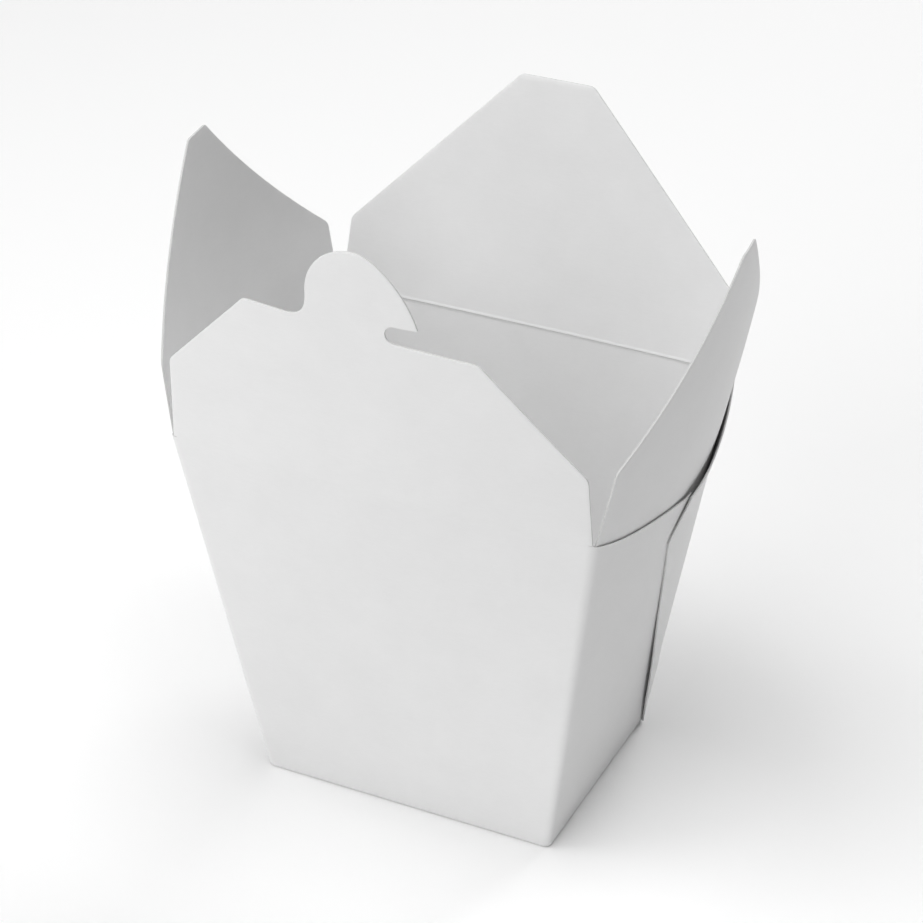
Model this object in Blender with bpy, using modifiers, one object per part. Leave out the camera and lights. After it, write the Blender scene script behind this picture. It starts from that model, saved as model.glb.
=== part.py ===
"""An open noodle takeaway box of folded white paperboard.

A tapered body with rounded folds and bowed walls, corner wings folded flat against
its narrow sides, and four lid flaps on creases: a front flap with a hook tab, a tall
back flap and two pointed side flaps that stand on arched creases.

Frame, in metres: X runs along the front, Y from the front to the back, Z up, with
the origin at the middle of the base.
"""

import math

import bmesh
import bpy
from mathutils import Vector

# Body
HEIGHT = 0.1033
BASE_WIDTH = 0.0800
BASE_DEPTH = 0.0624
RIM_WIDTH = 0.1115
RIM_DEPTH = 0.0881
BOARD = 0.0005
FOLD_RADIUS = 0.0018
FRONT_BOW = 0.0046
BACK_BOW = 0.0008
RIGHT_BOW = 0.0074
LEFT_BOW = 0.0098
ARCH_DIP = 0.0098

# Clearances along the creases, and at the ends of the flaps
CREASE_GAP = 0.0005
ARCH_GAP = 0.0008
ARCH_END_LIFT = 0.0015
ARCH_END_POWER = 6
FLAP_INSET = 0.0008
SIDE_FLAP_INSET = 0.0014

# Wings folded on the narrow sides: the front one covers the side, the back one lies on it
WING_SINK = 0.00025
WING_FOOT = 0.0012
WING_RAMP = 0.05
WING_END = 0.985
BACK_WING_PROUD = 0.0011
BACK_WING_TOE_Y = 0.0288
BACK_WING_KNEE = (-0.0052, 0.0808)
BACK_WING_TOP_Y = 0.0033

# Front flap, across and up from its crease
FRONT_LEAN = math.radians(2.7)
FRONT_LEFT_SHOULDER = (-0.0544, 0.0222)
FRONT_RIGHT_SHOULDER = (0.0543, 0.0176)
FRONT_LEFT_TOP = (-0.0312, 0.0456)
FRONT_RIGHT_TOP = (0.0289, 0.0424)
TAB_ROOT = (-0.0196, 0.0451)
TAB_CENTRE = (-0.0013, 0.0520)
TAB_RADIUS = 0.0127
TAB_ARC_END = 182
TAB_WAIST_DROP = 0.0045
TAB_ROOT_REACH = 0.0038
TAB_TIP = (0.0144, 0.0479)
TAB_TIP_ROUND = 0.0005
TAB_TIP_SLOPE = (-0.001, 0.003)
TAB_SHOULDER = (0.0122, 0.0558)
TAB_CREST_REACH = 0.0061
SLOT_END_X = 0.0084
SLOT_LOW = 0.0433
SLOT_HIGH = 0.0478

# Back flap
BACK_LEAN = math.radians(11.8)
BACK_SHOULDER = (0.0541, 0.0192)
BACK_TOP = (0.0099, 0.0651)

# Side flaps
SIDE_SHOULDER = (0.0424, 0.0186)
SIDE_TOP = (0.0031, 0.0613)
SIDE_TIP = 0.0623
SIDE_TIP_BEND = (0.0020, 0.0621)
SIDE_TIP_REACH = 0.0010
SIDE_EDGE_SAG = 0.0017
RIGHT_LEAN = math.radians(13.0)
RIGHT_CURL = -0.9
LEFT_LEAN = math.radians(6.2)
LEFT_CURL = 0.0
SIDE_PIVOT_OUT = 0.0016
SIDE_PIVOT_DOWN = 0.0026
CORNER_ROUND = 0.0012

# Facets
WALL_STEPS = 14
WALL_ROWS = 7
WING_ROWS = 9
FOLD_STEPS = 3
ARC_STEPS = 4
SAG_STEPS = 5
TIP_STEPS = 3
STRIP = 0.008
STRIP_SHIFT = 0.02
SAME_POINT = 1e-6
SHORT_EDGE = 2e-5
SMOOTH_ANGLE = math.radians(35)

COLLECTION = "noodle_takeaway_box"
CUTTERS = "joined_pieces"
BOARD_COLOUR = (0.86, 0.86, 0.86, 1.0)
BOARD_ROUGHNESS = 0.55

X = Vector((1.0, 0.0, 0.0))
Y = Vector((0.0, 1.0, 0.0))
Z = Vector((0.0, 0.0, 1.0))


class Face:
    """One wall of the body: its direction along, its direction out, and its bow."""

    def __init__(self, along, out, lengths, distances, bow, dip):
        self.along = along
        self.out = out
        self.lengths = lengths
        self.distances = distances
        self.bow = bow
        self.dip = dip

    def half_length(self, z):
        """Half the wall's length at height z."""
        low, high = self.lengths
        return (low + (high - low) * z / HEIGHT) / 2

    def distance(self, z):
        """The folds' distance from the middle of the body at height z."""
        low, high = self.distances
        return (low + (high - low) * z / HEIGHT) / 2

    def top(self, s):
        """Height of the wall's upper edge at s, from -1 to 1 along the wall."""
        return HEIGHT - CREASE_GAP / 2 - self.dip * (1 - s * s)

    def point(self, s, z, proud=0.0):
        """A point of the outer surface, moved out by proud."""
        bow = self.bow * (z / HEIGHT) * (1 - s * s)
        reach = self.distance(z) + bow + proud
        return self.along * (s * self.half_length(z)) + self.out * reach + Z * z


FRONT = Face(X, -Y, (BASE_WIDTH, RIM_WIDTH), (BASE_DEPTH, RIM_DEPTH), FRONT_BOW, 0.0)
RIGHT = Face(Y, X, (BASE_DEPTH, RIM_DEPTH), (BASE_WIDTH, RIM_WIDTH), RIGHT_BOW, ARCH_DIP)
BACK = Face(-X, Y, (BASE_WIDTH, RIM_WIDTH), (BASE_DEPTH, RIM_DEPTH), BACK_BOW, 0.0)
LEFT = Face(-Y, -X, (BASE_DEPTH, RIM_DEPTH), (BASE_WIDTH, RIM_WIDTH), LEFT_BOW, ARCH_DIP)
FACES = (FRONT, RIGHT, BACK, LEFT)


def clear_scene():
    """Removes what the scene holds."""
    for obj in list(bpy.data.objects):
        bpy.data.objects.remove(obj, do_unlink=True)


def new_collection(name, shown):
    """A collection under the scene's own."""
    collection = bpy.data.collections.new(name)
    bpy.context.scene.collection.children.link(collection)
    collection.hide_render = not shown
    return collection


def board_material(name):
    """White coated paperboard."""
    material = bpy.data.materials.new(name)
    material.use_nodes = True
    shader = material.node_tree.nodes["Principled BSDF"]
    shader.inputs["Base Color"].default_value = BOARD_COLOUR
    shader.inputs["Roughness"].default_value = BOARD_ROUGHNESS
    shader.inputs["Metallic"].default_value = 0.0
    return material


def object_from(bm, name, collection, pivot=Vector((0.0, 0.0, 0.0))):
    """Turns a bmesh in world space into an object whose origin is at pivot."""
    mesh = bpy.data.meshes.new(name)
    bmesh.ops.translate(bm, verts=bm.verts, vec=-pivot)
    bm.to_mesh(mesh)
    bm.free()
    obj = bpy.data.objects.new(name, mesh)
    obj.location = pivot
    collection.objects.link(obj)
    mesh.shade_smooth()
    mesh.set_sharp_from_angle(angle=SMOOTH_ANGLE)
    return obj


def thicken(obj, thickness):
    """Gives an open surface its thickness, on the side its faces look away from."""
    modifier = obj.modifiers.new("Board", "SOLIDIFY")
    modifier.thickness = thickness
    modifier.offset = -1.0
    modifier.use_even_offset = True


def grid(columns):
    """An open surface through columns of points of equal length."""
    bm = bmesh.new()
    rows = [[bm.verts.new(point) for point in column] for column in columns]
    for here, beside in zip(rows, rows[1:]):
        for k in range(len(here) - 1):
            bm.faces.new((here[k], beside[k], beside[k + 1], here[k + 1]))
    return bm


def wall_columns():
    """Columns of points up the outside of the body, round all four walls and folds."""
    columns = []
    for face, after in zip(FACES, FACES[1:] + FACES[:1]):
        for k in range(WALL_STEPS + 1):
            columns.append(wall_column(face, -1 + 2 * k / WALL_STEPS))
        for k in range(1, FOLD_STEPS):
            columns.append(fold_column(face, after, k / FOLD_STEPS))
    return columns


def flat_share(face, z):
    """The share of a wall's half length that lies between its rounded folds."""
    return 1 - FOLD_RADIUS / face.half_length(z)


def wall_column(face, share):
    """Points up a wall, at a share of the way from its middle to where the fold starts."""
    top = face.top(share * flat_share(face, HEIGHT))
    heights = [top * k / WALL_ROWS for k in range(WALL_ROWS + 1)]
    return [face.point(share * flat_share(face, z), z) for z in heights]


def fold_column(face, after, t):
    """Points up the rounded fold between a wall and the next one."""
    start = wall_column(face, 1.0)
    end = wall_column(after, -1.0)
    column = []
    for a, b in zip(start, end):
        z = a.z * (1 - t) + b.z * t
        corner = face.point(1.0, z)
        point = a * (1 - t) ** 2 + corner * (2 * t * (1 - t)) + b * t * t
        column.append(Vector((point.x, point.y, z)))
    return column


def sleeve(collection):
    """The base and the four walls, one open surface with the board's thickness."""
    columns = wall_columns()
    bm = grid(columns + columns[:1])
    bmesh.ops.remove_doubles(bm, verts=bm.verts, dist=SAME_POINT)
    foot = [v for v in bm.verts if v.co.z < SAME_POINT]
    foot.sort(key=lambda v: math.atan2(v.co.y, v.co.x))
    bm.faces.new(foot)
    bmesh.ops.recalc_face_normals(bm, faces=bm.faces)
    obj = object_from(bm, "box", collection)
    thicken(obj, BOARD)
    return obj


def wing_surface(face, edge, proud, front_sign):
    """A wing's outer surface on a narrow wall, from its free edge to the back fold."""
    arch_top = face.top(0.0)
    s_top = edge(arch_top) / face.half_length(arch_top)
    columns = []
    for k in range(WALL_STEPS + 1):
        share = k / WALL_STEPS
        top = face.top(s_top * (1 - share) + WING_END * share)
        column = []
        for row in range(WING_ROWS + 1):
            rise = row / WING_ROWS
            z_edge = WING_FOOT + (face.top(s_top) - WING_FOOT) * rise
            s_edge = edge(z_edge) / face.half_length(z_edge)
            s = s_edge * (1 - share) + WING_END * share
            z = WING_FOOT + (top - WING_FOOT) * rise
            column.append(face.point(front_sign * s, z, proud(s)))
        columns.append(column)
    bm = grid(columns)
    if front_sign < 0:
        bmesh.ops.reverse_faces(bm, faces=bm.faces)
    return bm


def front_wing_proud(s):
    """The front wing stands a board proud, and runs out into the front fold."""
    ramp = min(1.0, (1 + s) / WING_RAMP)
    smooth = ramp * ramp * (3 - 2 * ramp)
    return -WING_SINK / 2 + (BOARD + WING_SINK / 2) * smooth


def front_wing_edge(z):
    """The front wing starts at the front fold, where it turns off the front wall."""
    return -WING_END * RIGHT.half_length(z)


def back_wing_edge(z):
    """The back wing's free edge: a diagonal fold up to a knee, then a cut back to the arch."""
    knee_y, knee_z = BACK_WING_KNEE
    if z < knee_z:
        return BACK_WING_TOE_Y + (knee_y - BACK_WING_TOE_Y) * z / knee_z
    arch_z = RIGHT.top(0.0)
    return knee_y + (BACK_WING_TOP_Y - knee_y) * (z - knee_z) / (arch_z - knee_z)


def wing(name, face, front_sign, cutters, edge, proud, thickness):
    """One wing, a slab sunk a little into what it lies on, with its outer face proud."""
    obj = object_from(wing_surface(face, edge, proud, front_sign), name, cutters)
    thicken(obj, thickness)
    obj.hide_render = True
    obj.display_type = "WIRE"
    return obj


def join(obj, other):
    """Adds another solid to obj with a Boolean union."""
    modifier = obj.modifiers.new(other.name, "BOOLEAN")
    modifier.operation = "UNION"
    modifier.object = other


def body(collection, cutters, material):
    """The body with the wings folded on its narrow sides."""
    obj = sleeve(collection)
    for side, face, front_sign in (("right", RIGHT, 1), ("left", LEFT, -1)):
        front_wing = wing(
            side + "_front_wing", face, front_sign, cutters,
            front_wing_edge, front_wing_proud, BOARD + WING_SINK,
        )
        back_wing = wing(
            side + "_back_wing", face, front_sign, cutters,
            back_wing_edge, lambda s: BACK_WING_PROUD, BACK_WING_PROUD - BOARD + WING_SINK,
        )
        join(obj, front_wing)
        join(obj, back_wing)
    obj.data.materials.append(material)
    return obj


def curve_points(start, control_a, control_b, end, steps):
    """Points along a cubic curve, its start left out."""
    a, b, c, d = (Vector(p) for p in (start, control_a, control_b, end))
    found = []
    for k in range(1, steps + 1):
        t = k / steps
        u = 1 - t
        found.append(a * u**3 + b * (3 * u * u * t) + c * (3 * u * t * t) + d * t**3)
    return found


def arc_points(centre, radius, start_deg, end_deg, steps):
    """Points along a round arc, both ends included."""
    found = []
    for k in range(steps + 1):
        angle = math.radians(start_deg + (end_deg - start_deg) * k / steps)
        found.append(Vector((centre[0] + radius * math.cos(angle), centre[1] + radius * math.sin(angle))))
    return found


def round_corner(before, corner, after, reach=CORNER_ROUND):
    """Points of a small round in place of a corner."""
    before, corner, after = Vector(before), Vector(corner), Vector(after)
    start = corner + (before - corner).normalized() * reach
    end = corner + (after - corner).normalized() * reach
    found = []
    for k in range(ARC_STEPS):
        t = k / (ARC_STEPS - 1)
        found.append(start * (1 - t) ** 2 + corner * (2 * t * (1 - t)) + end * t * t)
    return found


def front_outline():
    """The front flap's outline, with the round hook tab and the slot under its tip."""
    foot = RIM_WIDTH / 2 - FLAP_INSET
    low = CREASE_GAP / 2
    slot_radius = (SLOT_HIGH - SLOT_LOW) / 2
    slot_centre = (SLOT_END_X, (SLOT_HIGH + SLOT_LOW) / 2)
    left_foot = (-foot, low)
    right_foot = (foot, low)
    outline = [Vector(right_foot)]
    outline += round_corner(right_foot, FRONT_RIGHT_SHOULDER, FRONT_RIGHT_TOP)
    outline += round_corner(FRONT_RIGHT_SHOULDER, FRONT_RIGHT_TOP, (SLOT_END_X, SLOT_LOW))
    outline += arc_points(slot_centre, slot_radius, 270, 90, 2 * ARC_STEPS)
    above_tip = Vector(TAB_TIP) + Vector(TAB_TIP_SLOPE)
    outline += round_corner((SLOT_END_X, SLOT_HIGH), TAB_TIP, above_tip, TAB_TIP_ROUND)
    tab_top = Vector((TAB_CENTRE[0], TAB_CENTRE[1] + TAB_RADIUS))
    crest_end = (tab_top.x + TAB_CREST_REACH, tab_top.y)
    crest = curve_points(TAB_TIP, TAB_SHOULDER, crest_end, tab_top, 3 * ARC_STEPS)
    outline += crest[1:-1]
    outline += arc_points(TAB_CENTRE, TAB_RADIUS, 90, TAB_ARC_END, 3 * ARC_STEPS)
    waist = outline[-1]
    below_waist = (waist.x, waist.y - TAB_WAIST_DROP)
    beside_root = (TAB_ROOT[0] + TAB_ROOT_REACH, TAB_ROOT[1])
    outline += curve_points(waist, below_waist, beside_root, TAB_ROOT, ARC_STEPS + 1)
    outline += round_corner(TAB_ROOT, FRONT_LEFT_TOP, FRONT_LEFT_SHOULDER)
    outline += round_corner(FRONT_LEFT_TOP, FRONT_LEFT_SHOULDER, left_foot)
    outline.append(Vector(left_foot))
    return outline


def sagging_edge(start, end, sag):
    """Points of a long cut that bends in by sag at its middle, to the left of its way up."""
    inward = Vector((start.y - end.y, end.x - start.x)).normalized()
    third = (end - start) / 3
    offset = inward * sag * 4 / 3
    return curve_points(start, start + third + offset, end - third + offset, end, SAG_STEPS)


def mirrored(half):
    """An outline from its right half, which runs from the crease up to the top."""
    return half + [Vector((-p.x, p.y)) for p in reversed(half)]


def back_outline():
    """The back flap's outline: short upright ends, then long slopes to a narrow top."""
    foot = (RIM_WIDTH / 2 - FLAP_INSET, CREASE_GAP / 2)
    half = [Vector(foot)]
    half += round_corner(foot, BACK_SHOULDER, BACK_TOP)
    half += round_corner(BACK_SHOULDER, BACK_TOP, (0.0, BACK_TOP[1]))
    return mirrored(half)


def side_outline(lean):
    """A side flap's outline: an arched foot, short upright ends and a pointed top."""
    foot_y = RIM_DEPTH / 2 - SIDE_FLAP_INSET
    steps = 2 * WALL_STEPS
    outline = []
    for k in range(steps + 1):
        y = -foot_y + 2 * foot_y * k / steps
        s = 2 * y / RIM_DEPTH
        gap = ARCH_GAP - CREASE_GAP / 2 + ARCH_END_LIFT * s**ARCH_END_POWER
        outline.append(Vector((y, (gap - ARCH_DIP * (1 - s * s)) / math.cos(lean))))
    foot = outline[-1]
    half = round_corner(foot, SIDE_SHOULDER, SIDE_TOP)
    half += sagging_edge(half[-1], Vector(SIDE_TOP), SIDE_EDGE_SAG)
    half += curve_points(SIDE_TOP, SIDE_TIP_BEND, (SIDE_TIP_REACH, SIDE_TIP), (0.0, SIDE_TIP), TIP_STEPS)
    return outline + half + [Vector((-p.x, p.y)) for p in reversed(half[:-1])]


def sheet(outline):
    """A flat sheet with this outline, cut into narrow strips so that it can bend."""
    bm = bmesh.new()
    bm.faces.new([bm.verts.new((p.x, p.y, 0.0)) for p in outline])
    for axis in (X, Y):
        values = [p.x if axis == X else p.y for p in outline]
        low = min(values)
        length = max(values) - low
        count = max(1, round(length / STRIP))
        for k in range(1, count):
            at = low + length * (k + STRIP_SHIFT) / count
            geometry = bm.verts[:] + bm.edges[:] + bm.faces[:]
            bmesh.ops.bisect_plane(bm, geom=geometry, plane_co=axis * at, plane_no=axis)
    bmesh.ops.remove_doubles(bm, verts=bm.verts, dist=SHORT_EDGE)
    bmesh.ops.triangulate(bm, faces=bm.faces)
    return bm


def flap(name, face, outline, lean, bow, curl, pivot, collection, material):
    """A flap: its flat sheet bent to the wall's bow, leaning out from its crease."""
    bm = sheet(outline)
    half = face.half_length(HEIGHT)
    for vert in bm.verts:
        a, w = vert.co.x, vert.co.y
        above = max(w, 0.0)
        reach = face.distance(HEIGHT) + bow * (1 - (a / half) ** 2) + curl * above * above
        reach += w * math.sin(lean)
        vert.co = face.along * a + face.out * reach + Z * (HEIGHT + w * math.cos(lean))
    for poly in bm.faces:
        poly.normal_update()
    if sum(poly.normal.dot(face.out) for poly in bm.faces) < 0:
        bmesh.ops.reverse_faces(bm, faces=bm.faces)
    obj = object_from(bm, name, collection, pivot)
    thicken(obj, BOARD)
    obj.data.materials.append(material)
    return obj


def side_bow(face, lean):
    """The bow at the rim of a side flap whose foot meets the wall along the arch."""
    foot = face.point(0.0, HEIGHT - ARCH_DIP)
    reach = foot.dot(face.out) - face.distance(HEIGHT)
    return reach + ARCH_DIP * math.tan(lean)


def flaps(collection, material):
    """The four lid flaps, each with its origin on its crease's axis."""
    inner_y = RIM_DEPTH / 2 - BOARD
    side_x = RIM_WIDTH / 2 + SIDE_PIVOT_OUT
    side_z = HEIGHT - SIDE_PIVOT_DOWN
    flap(
        "front_flap", FRONT, front_outline(), FRONT_LEAN, FRONT_BOW, 0.0,
        Vector((0.0, -inner_y, HEIGHT)), collection, material,
    )
    flap(
        "back_flap", BACK, back_outline(), BACK_LEAN, BACK_BOW, 0.0,
        Vector((0.0, inner_y, HEIGHT)), collection, material,
    )
    flap(
        "right_flap", RIGHT, side_outline(RIGHT_LEAN), RIGHT_LEAN, side_bow(RIGHT, RIGHT_LEAN),
        RIGHT_CURL, Vector((side_x, 0.0, side_z)), collection, material,
    )
    flap(
        "left_flap", LEFT, side_outline(LEFT_LEAN), LEFT_LEAN, side_bow(LEFT, LEFT_LEAN),
        LEFT_CURL, Vector((-side_x, 0.0, side_z)), collection, material,
    )


def main():
    """Builds the box and its flaps."""
    clear_scene()
    collection = new_collection(COLLECTION, True)
    cutters = new_collection(CUTTERS, False)
    material = board_material("white_board")
    body(collection, cutters, material)
    flaps(collection, material)


main()
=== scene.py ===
"""Looks of an open noodle takeaway box of folded white paperboard.

The body is a core of base and four walls, dressed with two outer sheets of board: the
front wall with its wings folded round onto the narrow sides, and the back wall with
its own wings lying over those. Four lid flaps bend out of the rim along their creases.
All lengths are in metres, in the frame of the solids.
"""

import math

import bmesh
import bpy
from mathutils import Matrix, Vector


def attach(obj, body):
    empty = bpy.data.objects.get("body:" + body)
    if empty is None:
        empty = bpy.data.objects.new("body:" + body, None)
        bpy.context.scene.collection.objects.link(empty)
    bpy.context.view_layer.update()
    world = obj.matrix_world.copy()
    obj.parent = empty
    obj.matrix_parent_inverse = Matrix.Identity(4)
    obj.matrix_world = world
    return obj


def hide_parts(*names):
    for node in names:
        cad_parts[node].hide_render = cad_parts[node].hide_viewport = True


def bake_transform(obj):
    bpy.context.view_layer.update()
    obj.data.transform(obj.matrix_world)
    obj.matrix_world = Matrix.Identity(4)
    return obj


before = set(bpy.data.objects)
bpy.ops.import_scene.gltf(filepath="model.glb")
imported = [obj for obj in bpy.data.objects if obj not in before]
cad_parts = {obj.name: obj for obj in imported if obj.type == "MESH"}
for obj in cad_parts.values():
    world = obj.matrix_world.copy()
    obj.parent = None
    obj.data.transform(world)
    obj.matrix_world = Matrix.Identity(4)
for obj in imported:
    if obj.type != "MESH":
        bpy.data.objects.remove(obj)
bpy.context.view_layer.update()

# Body
HEIGHT = 0.1033
BASE_WIDTH = 0.0800
BASE_DEPTH = 0.0624
RIM_WIDTH = 0.1115
RIM_DEPTH = 0.0881
BOARD = 0.0005
FOLD_RADIUS = 0.0018
FOOT_RADIUS = 0.0004
FRONT_BOW = 0.0046
BACK_BOW = 0.0008
RIGHT_BOW = 0.0074
LEFT_BOW = 0.0098
RIGHT_DIP = 0.0105
LEFT_DIP = 0.0098
RIGHT_WARP = 0.0017
WARP_REACH = 0.77
CORNER_DROOP = -RIGHT_WARP * math.sin(math.pi / WARP_REACH)

# Layers of board, measured out from the walls' outer surface
SHEET_DEPTH = 0.0003
CORE_SINK = 0.0002
WING_BOARD = 0.0004
FRONT_WING_PROUD = 0.0005
BACK_FOLD_PROUD = 0.0004
BACK_WING_PROUD = 0.0010

# How far the wings stand off near the arch and at the foot, and how far down that goes
ARCH_LIFT = 0.0001
ARCH_LIFT_HEIGHT = 0.008
FRONT_END_LIFT = 0.0004
FRONT_END_START_Y = -0.009
BACK_TOP_LIFT = 0.00145
TOP_LIFT_HEIGHT = 0.012
FOLD_TOP_LIFT = 0.0003
FOLD_TOP_HEIGHT = 0.008
LOW_LIFT = 0.0009
LOW_LIFT_HEIGHT = 0.024

# The wings' ends, as the distance to the back of the side's middle at a height
WING_FOOT = 0.0006
WING_TOP_GAP = 0.0001
BACK_WING_TOE_Y = 0.0288
BACK_WING_KNEE = (-0.0052, 0.0815)
BACK_WING_TOP_Y = 0.0
FRONT_WING_OVERLAP = (0.012, 0.0008)
FRONT_WING_END = 0.905
LEAST_RAMP = 0.03
# How far below the crease the painted shade grey starts on the front halves of the narrow sides
SHADE_GREY_START = 0.0012

# Creases: a low bead pressed into the board, and the height over which a flap bends
BEAD_HALF = 0.0007
FRONT_BEAD = 0.00005
BACK_BEAD = 0.00013
FRONT_BEND = 0.0030
SIDE_BEND = 0.0050
FOOT_BLEND = 0.015

# Flaps, across and up from the crease
FLAP_INSET = 0.0005
SIDE_FLAP_INSET = 0.0010
CORNER_ROUND = 0.0012
FRONT_LEAN = math.radians(2.7)
FRONT_LEFT_SHOULDER = (-0.0544, 0.0222)
FRONT_RIGHT_SHOULDER = (0.0543, 0.0176)
FRONT_LEFT_TOP = (-0.0312, 0.0456)
FRONT_RIGHT_TOP = (0.0289, 0.0424)
TAB_ROOT = (-0.0196, 0.0451)
TAB_CENTRE = (-0.0013, 0.0520)
TAB_RADIUS = 0.0127
TAB_ARC_END = 182
TAB_WAIST_DROP = 0.0045
TAB_ROOT_REACH = 0.0038
TAB_TIP = (0.0144, 0.0479)
TAB_TIP_ROUND = 0.0005
TAB_TIP_SLOPE = (-0.001, 0.003)
TAB_SHOULDER = (0.0122, 0.0558)
TAB_CREST_REACH = 0.0061
SLOT_END_X = 0.0084
SLOT_LOW = 0.0433
SLOT_HIGH = 0.0478
BACK_LEAN = math.radians(11.8)
BACK_SHOULDER = (0.0541, 0.0192)
BACK_TOP = (0.0099, 0.0651)
SIDE_SHOULDER = (0.0424, 0.0186)
SIDE_TOP_ROUND = 0.0008
SIDE_EDGE_SAG = 0.0008
RIGHT_BACK_TOP = (0.0037, 0.0611)
RIGHT_FRONT_TOP = (0.0030, 0.0593)
RIGHT_LEAN = math.radians(13.0)
RIGHT_CURL = -0.9
LEFT_BACK_TOP = (0.0025, 0.0609)
LEFT_FRONT_TOP = (0.0057, 0.0602)
LEFT_LEAN = math.radians(7.9)
LEFT_CURL = -0.55

# How finely surfaces are divided
WALL_STEPS = 56
FOLD_STEPS = 8
WALL_ROWS = 44
CREASE_ROWS = 8
WING_STEPS = 30
ARC_STEPS = 10
SHEET_STRIP = 0.0015
CREASE_STRIP = 0.00018
BEND_STRIP = 0.0005
EDGE_BEVEL = 0.00005

# Camera
CAMERA_PLACE = (0.2632, -0.5451, 0.4499)
CAMERA_TARGET = (0.00093, 0.0, 0.0867)
CAMERA_LENS = 110.0

# Floor, surroundings and soft lights, each with its place, size and power
FLOOR_COLOUR = (0.94, 0.94, 0.94)
FLOOR_GLOW = 0.03
WORLD_STRENGTH = 0.01
LIGHTS = (
    ("front_key", (-0.45, -1.5, 0.9), 1.2, 11.8),
    ("left_key", (-1.4, -0.8, 0.9), 1.2, 4.6),
    ("left_overhead", (-0.5, -0.3, 1.6), 0.9, 9.8),
    ("right_overhead", (0.35, -0.1, 1.7), 0.9, 10.2),
    ("back_light", (0.3, 1.6, 1.2), 1.2, 16.4),
)

X = Vector((1.0, 0.0, 0.0))
Y = Vector((0.0, 1.0, 0.0))
Z = Vector((0.0, 0.0, 1.0))


class Face:
    """One wall of the body: its direction along, its direction out, and its bow."""

    def __init__(self, along, out, lengths, distances, bow, bead, dip=0.0, warp=0.0, droop=0.0):
        self.along = along
        self.out = out
        self.lengths = lengths
        self.distances = distances
        self.bow = bow
        self.bead = bead
        self.dip = dip
        self.warp = warp
        self.droop = droop

    def half_length(self, z):
        """Half the wall's length at height z."""
        low, high = self.lengths
        return (low + (high - low) * z / HEIGHT) / 2

    def distance(self, z):
        """The folds' distance from the middle of the body at height z."""
        low, high = self.distances
        return (low + (high - low) * z / HEIGHT) / 2

    def crease(self, s):
        """Height of the wall's crease at s, from -1 to 1 along the wall."""
        warped = self.warp * math.sin(math.pi * max(-s, 0.0) / WARP_REACH)
        return HEIGHT - self.dip * (1 - s * s) + warped - self.droop * max(s, 0.0) ** 2

    def reach(self, s, z):
        """The outer surface's distance from the middle of the body."""
        return self.distance(z) + self.bow * (z / HEIGHT) * (1 - s * s)

    def point(self, s, z, proud=0.0):
        """A point of the outer surface, moved out by proud."""
        return self.along * (s * self.half_length(z)) + self.out * (self.reach(s, z) + proud) + Z * z

    def flat_share(self, z):
        """The share of the wall's half length that lies between its rounded folds."""
        return 1 - FOLD_RADIUS / self.half_length(z)

    def pressed(self, height):
        """How far the board is pressed in at a height above or below its crease."""
        if abs(height) > BEAD_HALF:
            return 0.0
        return self.bead * (1 + math.cos(math.pi * height / BEAD_HALF)) / 2


WIDTHS = (BASE_WIDTH, RIM_WIDTH)
DEPTHS = (BASE_DEPTH, RIM_DEPTH)
FRONT = Face(X, -Y, WIDTHS, DEPTHS, FRONT_BOW, FRONT_BEAD, droop=CORNER_DROOP)
RIGHT = Face(Y, X, DEPTHS, WIDTHS, RIGHT_BOW, 0.0, dip=RIGHT_DIP, warp=RIGHT_WARP)
BACK = Face(-X, Y, WIDTHS, DEPTHS, BACK_BOW, BACK_BEAD)
LEFT = Face(-Y, -X, DEPTHS, WIDTHS, LEFT_BOW, 0.0, dip=LEFT_DIP)


def smooth(t):
    """A smooth step from 0 to 1."""
    t = min(max(t, 0.0), 1.0)
    return t * t * (3 - 2 * t)


def foot_round(z):
    """How far the outer surface draws in where it turns under at the foot."""
    if z > FOOT_RADIUS:
        return 0.0
    return FOOT_RADIUS - math.sqrt(FOOT_RADIUS**2 - (FOOT_RADIUS - z) ** 2)


def row_heights(low, top):
    """Heights up a wall, close together at its foot and at its crease."""
    foot_top = low + FOOT_RADIUS
    crease_low = top - 1.5 * BEAD_HALF
    foot = [low + FOOT_RADIUS * k / 3 for k in range(3)]
    wall = [foot_top + (crease_low - foot_top) * k / WALL_ROWS for k in range(WALL_ROWS)]
    crease = [crease_low + (top - crease_low) * k / CREASE_ROWS for k in range(CREASE_ROWS + 1)]
    return foot + wall + crease


def wall_column(face, share, proud):
    """Points up a wall at a share of the way from its middle to where its fold starts."""
    crease = face.crease(share * face.flat_share(HEIGHT))
    column = []
    for z in row_heights(0.0, crease):
        s = share * face.flat_share(z)
        pressed = face.pressed(z - crease) + foot_round(z)
        column.append(face.point(s, z, proud(s, z) - pressed))
    return column


def fold_column(start, end, face, after, start_proud, end_proud, t):
    """Points up the rounded fold between a wall's last column and the next one's first."""
    column = []
    for a, b in zip(start, end):
        z = a.z * (1 - t) + b.z * t
        corner = face.along * face.half_length(z) + face.out * face.distance(z)
        corner += face.out * (start_proud - foot_round(z)) + after.out * (end_proud - foot_round(z))
        point = a * (1 - t) ** 2 + corner * (2 * t * (1 - t)) + b * t * t
        column.append(Vector((point.x, point.y, z)))
    return column


def fold_columns(start, end, face, after, start_proud, end_proud):
    """The columns inside one rounded fold."""
    return [
        fold_column(start, end, face, after, start_proud, end_proud, k / FOLD_STEPS)
        for k in range(1, FOLD_STEPS)
    ]


def constant(value):
    """A layer's place where it is the same all over."""
    return lambda s, z: value


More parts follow.
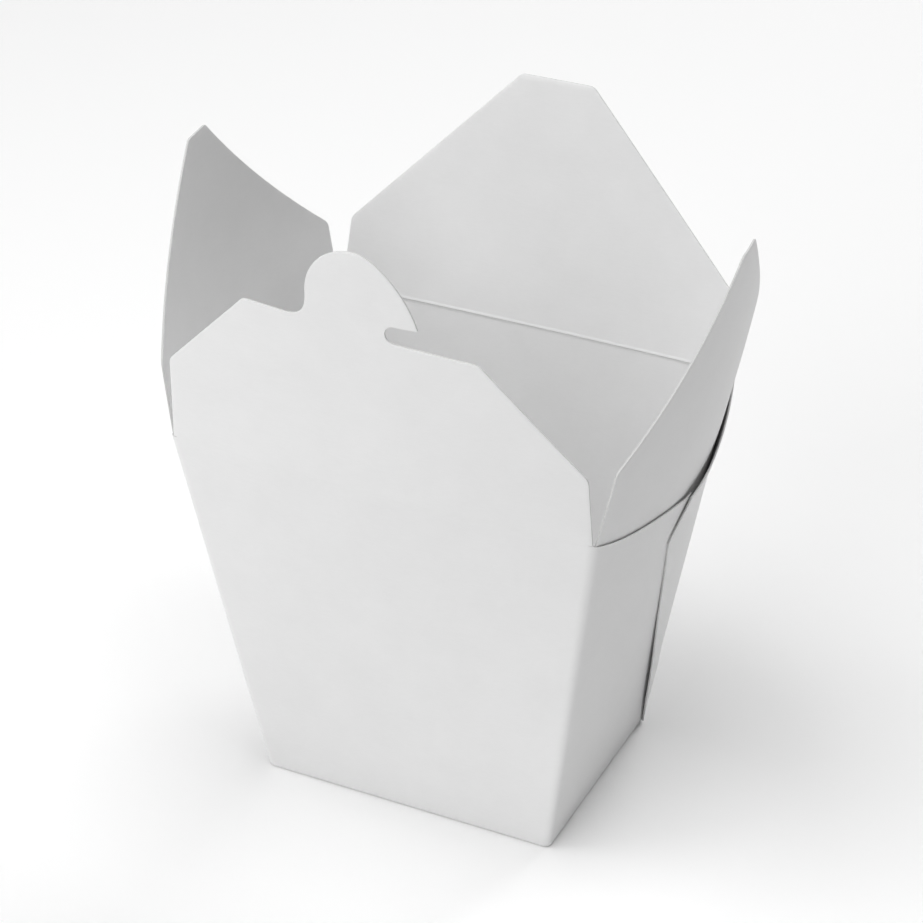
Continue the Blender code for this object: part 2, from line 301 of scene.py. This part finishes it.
def core_columns(front_proud, side_proud):
    """Columns round the whole body, at one depth on the wide walls and one on the narrow."""
    faces = (FRONT, RIGHT, BACK, LEFT)
    prouds = (front_proud, side_proud, front_proud, side_proud)
    walls = []
    for face, proud in zip(faces, prouds):
        shares = [-1 + 2 * k / WALL_STEPS for k in range(WALL_STEPS + 1)]
        walls.append([wall_column(face, share, constant(proud)) for share in shares])
    columns = []
    for k, face in enumerate(faces):
        after = (k + 1) % len(faces)
        columns += walls[k]
        columns += fold_columns(
            walls[k][-1], walls[after][0], face, faces[after], prouds[k], prouds[after],
        )
    return columns


def layer(bm, columns, closed, inside):
    """Adds one skin of board through columns of points and returns its vertices."""
    rows = [[bm.verts.new(point) for point in column] for column in columns]
    pairs = list(zip(rows, rows[1:] + rows[:1])) if closed else list(zip(rows, rows[1:]))
    for here, beside in pairs:
        for k in range(len(here) - 1):
            quad = [here[k], beside[k], beside[k + 1], here[k + 1]]
            face = bm.faces.new(reversed(quad) if inside else quad)
            face.smooth = True
    return rows


def rim(bm, outer, inner):
    """Adds the board's cut edge between two rows of vertices."""
    for k in range(len(outer) - 1):
        face = bm.faces.new((outer[k], outer[k + 1], inner[k + 1], inner[k]))
        face.material_index = 1


def new_piece(bm, name, materials):
    """Turns a bmesh into an object with its materials."""
    mesh = bpy.data.meshes.new(name)
    bm.to_mesh(mesh)
    bm.free()
    obj = bpy.data.objects.new(name, mesh)
    bpy.context.scene.collection.objects.link(obj)
    for material in materials:
        mesh.materials.append(material)
    mesh.set_sharp_from_angle(angle=math.radians(40))
    return obj


def box_core(materials):
    """Base and four walls, whose narrow sides under the wings are painted dark grey: painted shade for
    the gaps between the layers of board.
    """
    outer = core_columns(-CORE_SINK, 0.0)
    inner = core_columns(-BOARD, -BOARD)
    inner = [[Vector((p.x, p.y, max(p.z, BOARD))) for p in column] for column in inner]
    bm = bmesh.new()
    outer_rows = layer(bm, outer, True, False)
    inner_rows = layer(bm, inner, True, True)
    for face in bm.faces:
        centre = face.calc_center_median()
        outside = face.normal.dot(Vector((centre.x, centre.y, 0.0))) > 0
        side = RIGHT if centre.x > 0 else LEFT
        crease = side.crease(centre.y * side.along.y / side.half_length(centre.z))
        shade_top = crease - (SHADE_GREY_START if centre.y < 0 else 0.0)
        # Outer faces of the narrow sides below the crease get the dark grey, painted shade standing in
        # for the gaps under the wings
        if outside and abs(face.normal.x) > 0.5 and centre.z < shade_top:
            face.material_index = 2
    loop = len(outer_rows)
    tops = [row[-1] for row in outer_rows], [row[-1] for row in inner_rows]
    for k in range(loop):
        after = (k + 1) % loop
        edge = bm.faces.new((tops[0][k], tops[0][after], tops[1][after], tops[1][k]))
        edge.material_index = 1
    bm.faces.new([row[0] for row in reversed(outer_rows)])
    bm.faces.new([row[0] for row in inner_rows])
    return new_piece(bm, "box_core", materials)


def back_wing_edge(z):
    """The back wing's free edge: a diagonal fold up to a knee, then a cut back to the arch."""
    knee_y, knee_z = BACK_WING_KNEE
    if z < knee_z:
        return BACK_WING_TOE_Y + (knee_y - BACK_WING_TOE_Y) * z / knee_z
    arch_z = RIGHT.crease(0.0)
    return knee_y + (BACK_WING_TOP_Y - knee_y) * (z - knee_z) / (arch_z - knee_z)


def front_wing_edge(z):
    """The front wing's hidden end, which follows the back wing's edge under it."""
    low, high = FRONT_WING_OVERLAP
    edge = back_wing_edge(z) + low + (high - low) * z / HEIGHT
    return min(edge, FRONT_WING_END * RIGHT.half_length(z))


def towards_back(face, s):
    """A place along a narrow side, from -1 at its front to 1 at its back."""
    return s * face.along.y


def front_wing_place(face):
    """The front wing's outer surface: it stands off more at the arch, most near its end."""
    def place(s, z):
        below = face.crease(s) - z
        arch = ARCH_LIFT * smooth(1 - below / ARCH_LIFT_HEIGHT) * smooth((1 - abs(s)) * 6)
        near_end = smooth(1 - towards_back(face, s) * face.half_length(z) / FRONT_END_START_Y)
        end = FRONT_END_LIFT * smooth(1 - below / TOP_LIFT_HEIGHT) * near_end
        return FRONT_WING_PROUD + arch + end
    return place


def back_wing_place(face):
    """The back wing's outer surface: its free edge stands up at its foot and at the arch."""
    def place(s, z):
        half = face.half_length(z)
        fold = face.flat_share(z)
        here = fold - towards_back(face, s)
        on_front = smooth(here / max(fold - front_wing_edge(z) / half, LEAST_RAMP))
        out = min(max(here / max(fold - back_wing_edge(z) / half, LEAST_RAMP), 0.0), 1.0)
        low = LOW_LIFT * smooth(out) * math.exp(-((z - LOW_LIFT_HEIGHT) / LOW_LIFT_HEIGHT) ** 2)
        lying = BACK_FOLD_PROUD + (BACK_WING_PROUD - BACK_FOLD_PROUD) * on_front
        lifted = BACK_FOLD_PROUD + BACK_TOP_LIFT * math.sin(math.pi / 2 * out)
        below = face.crease(s) - z
        top = smooth(1 - below / TOP_LIFT_HEIGHT)
        fold_lift = FOLD_TOP_LIFT * smooth(1 - below / FOLD_TOP_HEIGHT) * (1 - out)
        return lying * (1 - top) + lifted * top + low + fold_lift
    return place


def wing_columns(face, sign, edge, place):
    """Columns of a wing from its fold to its free edge; sign is the fold's end of the wall."""
    columns = []
    for k in range(WING_STEPS + 1):
        share = k / WING_STEPS
        fold_s = sign * face.flat_share(HEIGHT)
        top_z = face.crease(0.0)
        top_s = fold_s * (1 - share) + edge(top_z) / face.half_length(top_z) * share
        crease = face.crease(top_s)
        column = []
        for z in row_heights(WING_FOOT, crease - WING_TOP_GAP):
            z_edge = z + (top_z - crease) * z / crease
            end_s = edge(z_edge) / face.half_length(z_edge)
            s = sign * face.flat_share(z) * (1 - share) + end_s * share
            column.append(face.point(s, z, place(s, z)))
        columns.append(column)
    return columns


def mirrored_edge(edge):
    """The same free edge on the left side, whose s runs the other way."""
    return lambda z: -edge(z)


def dressed_sheet(name, wide, first, last, edge, place, proud, materials):
    """A wide wall's outer board with its two wings folded round onto the narrow sides."""
    shares = [-1 + 2 * k / WALL_STEPS for k in range(WALL_STEPS + 1)]
    skins = []
    for depth, wing_depth in ((0.0, 0.0), (SHEET_DEPTH, WING_BOARD)):
        wall = [wall_column(wide, share, constant(-depth)) for share in shares]
        first_edge = edge if first is RIGHT else mirrored_edge(edge)
        last_edge = edge if last is RIGHT else mirrored_edge(edge)
        first_place = place(first)
        last_place = place(last)
        start_wing = wing_columns(
            first, 1, first_edge, lambda s, z: first_place(s, z) - wing_depth,
        )
        end_wing = wing_columns(
            last, -1, last_edge, lambda s, z: last_place(s, z) - wing_depth,
        )
        wing_proud = proud - wing_depth
        columns = list(reversed(start_wing))
        columns += fold_columns(start_wing[0], wall[0], first, wide, wing_proud, -depth)
        columns += wall
        columns += fold_columns(wall[-1], end_wing[0], wide, last, -depth, wing_proud)
        columns += end_wing
        skins.append(columns)
    bm = bmesh.new()
    outer = layer(bm, skins[0], False, False)
    inner = layer(bm, skins[1], False, True)
    rim(bm, [row[-1] for row in outer], [row[-1] for row in inner])
    rim(bm, [row[0] for row in reversed(outer)], [row[0] for row in reversed(inner)])
    rim(bm, outer[-1], inner[-1])
    rim(bm, list(reversed(outer[0])), list(reversed(inner[0])))
    bmesh.ops.recalc_face_normals(bm, faces=bm.faces)
    return new_piece(bm, name, materials)


def curve_points(start, control_a, control_b, end, steps):
    """Points along a cubic curve, its start left out."""
    a, b, c, d = (Vector(p) for p in (start, control_a, control_b, end))
    found = []
    for k in range(1, steps + 1):
        t = k / steps
        u = 1 - t
        found.append(a * u**3 + b * (3 * u * u * t) + c * (3 * u * t * t) + d * t**3)
    return found


def arc_points(centre, radius, start_deg, end_deg, steps):
    """Points along a round arc, both ends included."""
    found = []
    for k in range(steps + 1):
        angle = math.radians(start_deg + (end_deg - start_deg) * k / steps)
        found.append(Vector((centre[0] + radius * math.cos(angle), centre[1] + radius * math.sin(angle))))
    return found


def round_corner(before, corner, after, reach=CORNER_ROUND):
    """Points of a small round in place of a corner."""
    before, corner, after = Vector(before), Vector(corner), Vector(after)
    start = corner + (before - corner).normalized() * reach
    end = corner + (after - corner).normalized() * reach
    found = []
    for k in range(ARC_STEPS):
        t = k / (ARC_STEPS - 1)
        found.append(start * (1 - t) ** 2 + corner * (2 * t * (1 - t)) + end * t * t)
    return found


def sagging_edge(start, end, sag, steps=16):
    """Points of a long cut that bends in by sag at its middle, to the left of its way up."""
    inward = Vector((start.y - end.y, end.x - start.x)).normalized()
    third = (end - start) / 3
    offset = inward * sag * 4 / 3
    return curve_points(start, start + third + offset, end - third + offset, end, steps)


def front_outline():
    """The front flap's outline, with the round hook tab and the slot under its tip."""
    foot = RIM_WIDTH / 2 - FLAP_INSET
    slot_radius = (SLOT_HIGH - SLOT_LOW) / 2
    slot_centre = (SLOT_END_X, (SLOT_HIGH + SLOT_LOW) / 2)
    left_foot = (-foot, 0.0)
    right_foot = (foot, 0.0)
    outline = [Vector(right_foot)]
    outline += round_corner(right_foot, FRONT_RIGHT_SHOULDER, FRONT_RIGHT_TOP)
    outline += round_corner(FRONT_RIGHT_SHOULDER, FRONT_RIGHT_TOP, (SLOT_END_X, SLOT_LOW))
    outline += arc_points(slot_centre, slot_radius, 270, 90, 2 * ARC_STEPS)
    above_tip = Vector(TAB_TIP) + Vector(TAB_TIP_SLOPE)
    outline += round_corner((SLOT_END_X, SLOT_HIGH), TAB_TIP, above_tip, TAB_TIP_ROUND)
    tab_top = Vector((TAB_CENTRE[0], TAB_CENTRE[1] + TAB_RADIUS))
    crest_end = (tab_top.x + TAB_CREST_REACH, tab_top.y)
    crest = curve_points(TAB_TIP, TAB_SHOULDER, crest_end, tab_top, 3 * ARC_STEPS)
    outline += [p for p in crest[1:-1] if (p - outline[-1]).length > TAB_TIP_ROUND / 2]
    outline += arc_points(TAB_CENTRE, TAB_RADIUS, 90, TAB_ARC_END, 3 * ARC_STEPS)
    waist = outline[-1]
    below_waist = (waist.x, waist.y - TAB_WAIST_DROP)
    beside_root = (TAB_ROOT[0] + TAB_ROOT_REACH, TAB_ROOT[1])
    outline += curve_points(waist, below_waist, beside_root, TAB_ROOT, ARC_STEPS + 1)
    outline += round_corner(TAB_ROOT, FRONT_LEFT_TOP, FRONT_LEFT_SHOULDER)
    outline += round_corner(FRONT_LEFT_TOP, FRONT_LEFT_SHOULDER, left_foot)
    outline.append(Vector(left_foot))
    return outline


def back_outline():
    """The back flap's outline: short upright ends, then long slopes to a narrow top."""
    foot = (RIM_WIDTH / 2 - FLAP_INSET, 0.0)
    half = [Vector(foot)]
    half += round_corner(foot, BACK_SHOULDER, BACK_TOP)
    half += round_corner(BACK_SHOULDER, BACK_TOP, (0.0, BACK_TOP[1]))
    return half + [Vector((-p.x, p.y)) for p in reversed(half)]


def crease_rise(face, a, lean):
    """How far above the level rim a wall's crease lies, along the flap."""
    return (face.crease(a / face.half_length(HEIGHT)) - HEIGHT) / math.cos(lean)


def side_half(top, other_top):
    """Half of a side flap's outline, from above its foot to a corner of its narrow top."""
    foot = (RIM_DEPTH / 2 - SIDE_FLAP_INSET, 0.0)
    half = round_corner(foot, SIDE_SHOULDER, top)
    half += sagging_edge(half[-1], Vector(top), SIDE_EDGE_SAG)[:-1]
    return half + round_corner(half[-1], top, (-other_top[0], other_top[1]), SIDE_TOP_ROUND)


def side_outline(face, lean, first_top, last_top):
    """A side flap's outline, its height measured up from the arched crease."""
    outline = side_half(first_top, last_top)
    outline += [Vector((-p.x, p.y)) for p in reversed(side_half(last_top, first_top))]
    outline = [Vector((p.x, p.y - crease_rise(face, p.x, lean))) for p in outline]
    foot = RIM_DEPTH / 2 - SIDE_FLAP_INSET
    return [Vector((foot, 0.0))] + outline + [Vector((-foot, 0.0))]


def cuts(low, high, strip):
    """Places of even cuts between two ends."""
    count = max(1, round((high - low) / strip))
    return [low + (high - low) * (k + 0.013) / count for k in range(1, count)]


def sheet(outline, bend):
    """A flat sheet with this outline, cut into strips, finest at the crease."""
    bm = bmesh.new()
    bm.faces.new([bm.verts.new((p.x, p.y, 0.0)) for p in outline])
    crease_top = 1.5 * BEAD_HALF
    top = max(p.y for p in outline)
    side = max(p.x for p in outline)
    rows = cuts(0.0, crease_top, CREASE_STRIP) + [crease_top]
    rows += cuts(crease_top, bend + crease_top, BEND_STRIP) + [bend + crease_top]
    rows += cuts(bend + crease_top, top, SHEET_STRIP)
    for axis, places in ((X, cuts(-side, side, SHEET_STRIP)), (Y, rows)):
        for place in places:
            geometry = bm.verts[:] + bm.edges[:] + bm.faces[:]
            bmesh.ops.bisect_plane(bm, geom=geometry, plane_co=axis * place, plane_no=axis)
    bmesh.ops.remove_doubles(bm, verts=bm.verts, dist=0.00002)
    for vert in bm.verts:
        if vert.co.y < CREASE_STRIP / 4:
            vert.co.y = -EDGE_BEVEL
    return bm


def flap_point(face, a, height, lean, bow, curl):
    """A point of a flap's outer surface, at a height above its crease."""
    s = a / face.half_length(HEIGHT)
    crease = face.crease(s)
    foot_w = crease_rise(face, a, lean)
    w = foot_w + height
    foot_reach = face.distance(HEIGHT) + bow * (1 - s * s) + foot_w * math.sin(lean)
    meeting = (face.reach(s, crease) - foot_reach) * (1 - smooth(height / FOOT_BLEND))
    above = max(w, 0.0)
    reach = face.distance(HEIGHT) + bow * (1 - s * s) + curl * above * above + w * math.sin(lean)
    out = reach + meeting - face.pressed(height)
    return face.along * a + face.out * out + Z * (HEIGHT + w * math.cos(lean))


def flap(body, face, outline, lean, bow, curl, bend, materials):
    """A flap of board that bends out of the rim along its crease."""
    bm = sheet(outline, bend)
    for vert in bm.verts:
        vert.co = flap_point(face, vert.co.x, vert.co.y, lean, bow, curl)
    for poly in bm.faces:
        poly.normal_update()
        poly.smooth = True
    if sum(poly.normal.dot(face.out) for poly in bm.faces) < 0:
        bmesh.ops.reverse_faces(bm, faces=bm.faces)
    obj = new_piece(bm, body + "_board", materials)
    board = obj.modifiers.new("Board", "SOLIDIFY")
    board.thickness = BOARD
    board.offset = -1.0
    board.use_even_offset = True
    board.material_offset_rim = 1
    bevel = obj.modifiers.new("Cut edge", "BEVEL")
    bevel.width = EDGE_BEVEL
    bevel.segments = 2
    bevel.limit_method = "ANGLE"
    bevel.angle_limit = math.radians(50)
    bevel.use_clamp_overlap = False
    bevel.harden_normals = False
    rim_place = face.out * face.distance(HEIGHT) + Z * HEIGHT
    middle = face.out * face.reach(0.0, face.crease(0.0)) + Z * face.crease(0.0)
    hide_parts(body)
    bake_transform(obj)
    return obj


def side_bow(face, lean):
    """The bow at the rim of a side flap whose foot meets the wall along the arch."""
    return face.reach(0.0, HEIGHT - face.dip) - face.distance(HEIGHT) + face.dip * math.tan(lean)


def node(tree, kind, place, **values):
    """A shader node at a place in the tree, with its inputs set."""
    found = tree.nodes.new(kind)
    found.location = place
    for name, value in values.items():
        found.inputs[name.replace("_", " ")].default_value = value
    return found


def noise(tree, coordinates, scale, detail, place):
    """A noise texture over object coordinates."""
    found = node(tree, "ShaderNodeTexNoise", place, Scale=scale, Detail=detail, Roughness=0.6)
    tree.links.new(coordinates, found.inputs["Vector"])
    return found.outputs["Fac"]


def stretched(tree, coordinates, scale, place):
    """Object coordinates stretched, for fibres that run one way."""
    found = node(tree, "ShaderNodeMapping", place)
    found.inputs["Scale"].default_value = scale
    tree.links.new(coordinates, found.inputs["Vector"])
    return found.outputs["Vector"]


def remap(tree, value, low, high, to_low, to_high, place):
    """A value's range turned into another."""
    found = node(
        tree, "ShaderNodeMapRange", place,
        From_Min=low, From_Max=high, To_Min=to_low, To_Max=to_high,
    )
    tree.links.new(value, found.inputs["Value"])
    return found.outputs["Result"]


def product(tree, first, second, place):
    """Two values multiplied."""
    found = tree.nodes.new("ShaderNodeMath")
    found.operation = "MULTIPLY"
    found.location = place
    tree.links.new(first, found.inputs[0])
    tree.links.new(second, found.inputs[1])
    return found.outputs[0]


def bump(tree, height, strength, distance, place, normal=None):
    """A bump of real depth, on top of another one."""
    found = node(tree, "ShaderNodeBump", place, Strength=strength, Distance=distance)
    tree.links.new(height, found.inputs["Height"])
    if normal is not None:
        tree.links.new(normal, found.inputs["Normal"])
    return found.outputs["Normal"]


def board_finish(name, colour, variation, roughness, coat, grain):
    """Paperboard: clouded tone, short fibres along one way and a fine calendered grain."""
    material = bpy.data.materials.new(name)
    material.use_nodes = True
    tree = material.node_tree
    shader = tree.nodes["Principled BSDF"]
    shader.inputs["Coat Weight"].default_value = coat
    shader.inputs["Coat Roughness"].default_value = 0.45
    shader.inputs["IOR"].default_value = 1.46
    where = node(tree, "ShaderNodeTexCoord", (-1500, 0)).outputs["Object"]
    clouds = noise(tree, where, 70.0, 4.0, (-1100, 300))
    fibres = noise(tree, stretched(tree, where, (420.0, 420.0, 2600.0), (-1300, 0)), 1.0, 3.0, (-1100, 0))
    speckle = noise(tree, where, 3800.0, 2.0, (-1100, -300))
    tone = product(
        tree,
        remap(tree, clouds, 0.3, 0.7, 1 - variation, 1.0, (-850, 300)),
        remap(tree, fibres, 0.3, 0.7, 1 - variation / 2, 1.0, (-850, 0)),
        (-650, 200),
    )
    mix = tree.nodes.new("ShaderNodeVectorMath")
    mix.operation = "SCALE"
    mix.location = (-450, 200)
    mix.inputs[0].default_value = colour
    tree.links.new(tone, mix.inputs["Scale"])
    tree.links.new(mix.outputs["Vector"], shader.inputs["Base Color"])
    rough = remap(tree, clouds, 0.3, 0.7, roughness - 0.05, roughness + 0.05, (-450, -50))
    tree.links.new(rough, shader.inputs["Roughness"])
    relief = bump(tree, fibres, grain, 0.00003, (-450, -250))
    relief = bump(tree, speckle, grain, 0.00002, (-250, -250), relief)
    tree.links.new(relief, shader.inputs["Normal"])
    return material


def stage():
    """A plain white floor and large soft lights in faint even surroundings."""
    bpy.ops.mesh.primitive_plane_add(size=6.0, location=(0.0, 0.0, -0.0002))
    floor = bpy.context.object
    floor.name = "floor"
    material = bpy.data.materials.new("floor_white")
    material.use_nodes = True
    shader = material.node_tree.nodes["Principled BSDF"]
    shader.inputs["Base Color"].default_value = (*FLOOR_COLOUR, 1.0)
    shader.inputs["Roughness"].default_value = 0.9
    shader.inputs["Specular IOR Level"].default_value = 0.1
    shader.inputs["Emission Color"].default_value = (1.0, 1.0, 1.0, 1.0)
    shader.inputs["Emission Strength"].default_value = FLOOR_GLOW
    floor.data.materials.append(material)
    world = bpy.data.worlds.new("studio")
    world.use_nodes = True
    background = world.node_tree.nodes["Background"]
    background.inputs["Color"].default_value = (1.0, 1.0, 1.0, 1.0)
    background.inputs["Strength"].default_value = WORLD_STRENGTH
    bpy.context.scene.world = world
    for name, place, size, power in LIGHTS:
        soft_light(name, place, size, power)


def soft_light(name, place, size, power):
    """A square soft light aimed at the middle of the box."""
    light = bpy.data.lights.new(name, "AREA")
    light.size = size
    light.energy = power
    obj = bpy.data.objects.new(name, light)
    obj.location = place
    aim = Vector(CAMERA_TARGET) - Vector(place)
    obj.rotation_euler = aim.to_track_quat("-Z", "Y").to_euler()
    bpy.context.scene.collection.objects.link(obj)


def camera():
    """The camera, at the photograph's angle."""
    data = bpy.data.cameras.new("camera")
    data.lens = CAMERA_LENS
    data.sensor_width = 36.0
    data.clip_start = 0.01
    obj = bpy.data.objects.new("camera", data)
    obj.location = CAMERA_PLACE
    aim = Vector(CAMERA_TARGET) - Vector(CAMERA_PLACE)
    obj.rotation_euler = aim.to_track_quat("-Z", "Y").to_euler()
    bpy.context.scene.collection.objects.link(obj)
    bpy.context.scene.camera = obj
    bpy.context.scene.view_settings.view_transform = "Standard"


def body(materials):
    """The box's core and its two outer sheets, all riding on the box."""
    core = box_core(materials)
    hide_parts("box")
    front = dressed_sheet(
        "front_wall_and_wings", FRONT, LEFT, RIGHT, front_wing_edge, front_wing_place,
        FRONT_WING_PROUD, materials,
    )
    back = dressed_sheet(
        "back_wall_and_wings", BACK, RIGHT, LEFT, back_wing_edge, back_wing_place,
        BACK_FOLD_PROUD, materials,
    )
    for piece in (core, front, back):
        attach(piece, "box")


def flaps(materials):
    """The four lid flaps."""
    flap("front_flap", FRONT, front_outline(), FRONT_LEAN, FRONT_BOW, 0.0, FRONT_BEND, materials)
    flap("back_flap", BACK, back_outline(), BACK_LEAN, BACK_BOW, 0.0, FRONT_BEND, materials)
    flap(
        "right_flap", RIGHT, side_outline(RIGHT, RIGHT_LEAN, RIGHT_BACK_TOP, RIGHT_FRONT_TOP),
        RIGHT_LEAN, side_bow(RIGHT, RIGHT_LEAN), RIGHT_CURL, SIDE_BEND, materials,
    )
    flap(
        "left_flap", LEFT, side_outline(LEFT, LEFT_LEAN, LEFT_FRONT_TOP, LEFT_BACK_TOP),
        LEFT_LEAN, side_bow(LEFT, LEFT_LEAN), LEFT_CURL, SIDE_BEND, materials,
    )


camera()
stage()
white_board = board_finish("white_board", (0.86, 0.86, 0.86), 0.03, 0.5, 0.12, 0.25)
cut_edge = board_finish("cut_edge", (0.68, 0.68, 0.675), 0.08, 0.85, 0.0, 0.6)
# Dark grey board that is painted shade: it darkens the gaps between the wings and the walls
gap_shade_grey = board_finish("gap_shade_grey", (0.28, 0.28, 0.28), 0.15, 0.9, 0.0, 0.5)
body([white_board, cut_edge, gap_shade_grey])
flaps([white_board, cut_edge])
